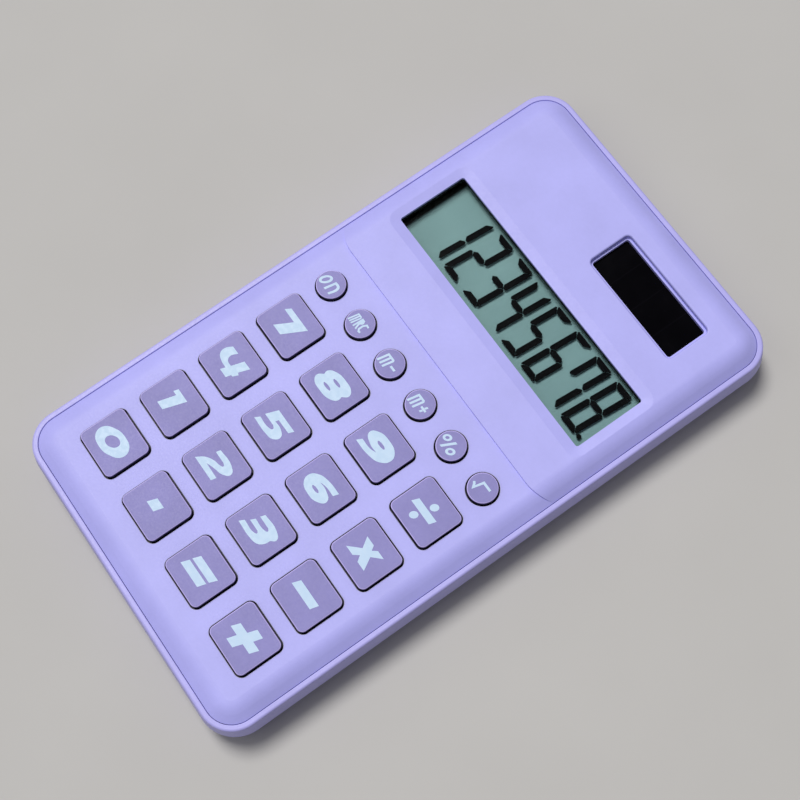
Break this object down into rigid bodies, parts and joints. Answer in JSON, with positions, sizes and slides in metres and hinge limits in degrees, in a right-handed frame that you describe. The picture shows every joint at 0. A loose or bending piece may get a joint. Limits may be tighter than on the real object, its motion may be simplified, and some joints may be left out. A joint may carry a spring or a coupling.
{
  "type": "pocket calculator",
  "caption": "Slim pocket calculator: two-part plastic case, sprung square and round keys, segment display and solar cell over a circuit board and button cell.",
  "frame": {"origin": "centre of the flat back, in the plane the calculator rests on", "axes": "+X to the right of the keypad, +Y towards the display end, +Z out of the keypad"},
  "size_m": [0.0702, 0.124, 0.0115],
  "materials": {
    "cover_plastic": "fine satin lavender",
    "case_plastic": "satin lavender",
    "key_plastic": "satin violet",
    "black_plastic": "matte black",
    "polariser_film": "clear grey-green film",
    "display_glass": "clear glass",
    "reflector_film": "grey-green reflector",
    "zebra_rubber": "striped elastomer",
    "foam": "open foam",
    "solar_glass": "polished black glass",
    "board": "brown laminate",
    "carbon": "carbon ink",
    "silicone": "translucent silicone",
    "epoxy": "black epoxy",
    "ceramic": "tan ceramic",
    "resistor": "black chip",
    "diode_glass": "orange glass",
    "cell_steel": "polished nickel",
    "contact_metal": "nickel-plated sheet",
    "wire_red": "red insulation",
    "wire_black": "black insulation",
    "screw_steel": "zinc plated"
  },
  "bodies": {
    "housing": {"front_cover": "cover_plastic", "back_cover": "case_plastic", "lcd_holder": "black_plastic", "lcd_front_polariser": "polariser_film", "lcd_front_glass": "display_glass", "lcd_rear_glass": "display_glass", "lcd_reflector": "reflector_film", "zebra_strip": "zebra_rubber", "foam_strip": "foam", "solar_cell": "solar_glass", "circuit_board": "board", "key_contacts": "carbon", "dome_mat": "silicone", "contact_pills": "carbon", "chip_blob": "epoxy", "chip_capacitors": "ceramic", "chip_resistors": "resistor", "clamp_diode": "diode_glass", "button_cell": "cell_steel", "negative_contact": "contact_metal", "positive_contact": "contact_metal", "battery_wire_red": "wire_red", "battery_wire_black": "wire_black", "solar_wire_red": "wire_red", "solar_wire_black": "wire_black", "board_screws": "screw_steel", "case_screws": "screw_steel"},
    "key_0": {"key_0": "key_plastic"},
    "key_decimal_point": {"key_decimal_point": "key_plastic"},
    "key_equals": {"key_equals": "key_plastic"},
    "key_plus": {"key_plus": "key_plastic"},
    "key_1": {"key_1": "key_plastic"},
    "key_2": {"key_2": "key_plastic"},
    "key_3": {"key_3": "key_plastic"},
    "key_minus": {"key_minus": "key_plastic"},
    "key_4": {"key_4": "key_plastic"},
    "key_5": {"key_5": "key_plastic"},
    "key_6": {"key_6": "key_plastic"},
    "key_multiply": {"key_multiply": "key_plastic"},
    "key_7": {"key_7": "key_plastic"},
    "key_8": {"key_8": "key_plastic"},
    "key_9": {"key_9": "key_plastic"},
    "key_divide": {"key_divide": "key_plastic"},
    "key_on": {"key_on": "key_plastic"},
    "key_memory_recall": {"key_memory_recall": "key_plastic"},
    "key_memory_minus": {"key_memory_minus": "key_plastic"},
    "key_memory_plus": {"key_memory_plus": "key_plastic"},
    "key_percent": {"key_percent": "key_plastic"},
    "key_square_root": {"key_square_root": "key_plastic"}
  },
  "joints": [
    {"name": "key_0_press", "type": "slide", "parent": "housing", "child": "key_0", "axis": [0, 0, -1], "range_m": [0, 0.001], "stiffness_N_per_m": 600, "springref_m": -0.0005, "deforming": ["dome_mat", "contact_pills"]},
    {"name": "key_decimal_point_press", "type": "slide", "parent": "housing", "child": "key_decimal_point", "axis": [0, 0, -1], "range_m": [0, 0.001], "stiffness_N_per_m": 600, "springref_m": -0.0005, "deforming": ["dome_mat", "contact_pills"]},
    {"name": "key_equals_press", "type": "slide", "parent": "housing", "child": "key_equals", "axis": [0, 0, -1], "range_m": [0, 0.001], "stiffness_N_per_m": 600, "springref_m": -0.0005, "deforming": ["dome_mat", "contact_pills"]},
    {"name": "key_plus_press", "type": "slide", "parent": "housing", "child": "key_plus", "axis": [0, 0, -1], "range_m": [0, 0.001], "stiffness_N_per_m": 600, "springref_m": -0.0005, "deforming": ["dome_mat", "contact_pills"]},
    {"name": "key_1_press", "type": "slide", "parent": "housing", "child": "key_1", "axis": [0, 0, -1], "range_m": [0, 0.001], "stiffness_N_per_m": 600, "springref_m": -0.0005, "deforming": ["dome_mat", "contact_pills"]},
    {"name": "key_2_press", "type": "slide", "parent": "housing", "child": "key_2", "axis": [0, 0, -1], "range_m": [0, 0.001], "stiffness_N_per_m": 600, "springref_m": -0.0005, "deforming": ["dome_mat", "contact_pills"]},
    {"name": "key_3_press", "type": "slide", "parent": "housing", "child": "key_3", "axis": [0, 0, -1], "range_m": [0, 0.001], "stiffness_N_per_m": 600, "springref_m": -0.0005, "deforming": ["dome_mat", "contact_pills"]},
    {"name": "key_minus_press", "type": "slide", "parent": "housing", "child": "key_minus", "axis": [0, 0, -1], "range_m": [0, 0.001], "stiffness_N_per_m": 600, "springref_m": -0.0005, "deforming": ["dome_mat", "contact_pills"]},
    {"name": "key_4_press", "type": "slide", "parent": "housing", "child": "key_4", "axis": [0, 0, -1], "range_m": [0, 0.001], "stiffness_N_per_m": 600, "springref_m": -0.0005, "deforming": ["dome_mat", "contact_pills"]},
    {"name": "key_5_press", "type": "slide", "parent": "housing", "child": "key_5", "axis": [0, 0, -1], "range_m": [0, 0.001], "stiffness_N_per_m": 600, "springref_m": -0.0005, "deforming": ["dome_mat", "contact_pills"]},
    {"name": "key_6_press", "type": "slide", "parent": "housing", "child": "key_6", "axis": [0, 0, -1], "range_m": [0, 0.001], "stiffness_N_per_m": 600, "springref_m": -0.0005, "deforming": ["dome_mat", "contact_pills"]},
    {"name": "key_multiply_press", "type": "slide", "parent": "housing", "child": "key_multiply", "axis": [0, 0, -1], "range_m": [0, 0.001], "stiffness_N_per_m": 600, "springref_m": -0.0005, "deforming": ["dome_mat", "contact_pills"]},
    {"name": "key_7_press", "type": "slide", "parent": "housing", "child": "key_7", "axis": [0, 0, -1], "range_m": [0, 0.001], "stiffness_N_per_m": 600, "springref_m": -0.0005, "deforming": ["dome_mat", "contact_pills"]},
    {"name": "key_8_press", "type": "slide", "parent": "housing", "child": "key_8", "axis": [0, 0, -1], "range_m": [0, 0.001], "stiffness_N_per_m": 600, "springref_m": -0.0005, "deforming": ["dome_mat", "contact_pills"]},
    {"name": "key_9_press", "type": "slide", "parent": "housing", "child": "key_9", "axis": [0, 0, -1], "range_m": [0, 0.001], "stiffness_N_per_m": 600, "springref_m": -0.0005, "deforming": ["dome_mat", "contact_pills"]},
    {"name": "key_divide_press", "type": "slide", "parent": "housing", "child": "key_divide", "axis": [0, 0, -1], "range_m": [0, 0.001], "stiffness_N_per_m": 600, "springref_m": -0.0005, "deforming": ["dome_mat", "contact_pills"]},
    {"name": "key_on_press", "type": "slide", "parent": "housing", "child": "key_on", "axis": [0, 0, -1], "range_m": [0, 0.001], "stiffness_N_per_m": 450, "springref_m": -0.0005, "deforming": ["dome_mat", "contact_pills"]},
    {"name": "key_memory_recall_press", "type": "slide", "parent": "housing", "child": "key_memory_recall", "axis": [0, 0, -1], "range_m": [0, 0.001], "stiffness_N_per_m": 450, "springref_m": -0.0005, "deforming": ["dome_mat", "contact_pills"]},
    {"name": "key_memory_minus_press", "type": "slide", "parent": "housing", "child": "key_memory_minus", "axis": [0, 0, -1], "range_m": [0, 0.001], "stiffness_N_per_m": 450, "springref_m": -0.0005, "deforming": ["dome_mat", "contact_pills"]},
    {"name": "key_memory_plus_press", "type": "slide", "parent": "housing", "child": "key_memory_plus", "axis": [0, 0, -1], "range_m": [0, 0.001], "stiffness_N_per_m": 450, "springref_m": -0.0005, "deforming": ["dome_mat", "contact_pills"]},
    {"name": "key_percent_press", "type": "slide", "parent": "housing", "child": "key_percent", "axis": [0, 0, -1], "range_m": [0, 0.001], "stiffness_N_per_m": 450, "springref_m": -0.0005, "deforming": ["dome_mat", "contact_pills"]},
    {"name": "key_square_root_press", "type": "slide", "parent": "housing", "child": "key_square_root", "axis": [0, 0, -1], "range_m": [0, 0.001], "stiffness_N_per_m": 450, "springref_m": -0.0005, "deforming": ["dome_mat", "contact_pills"]}
  ]
}
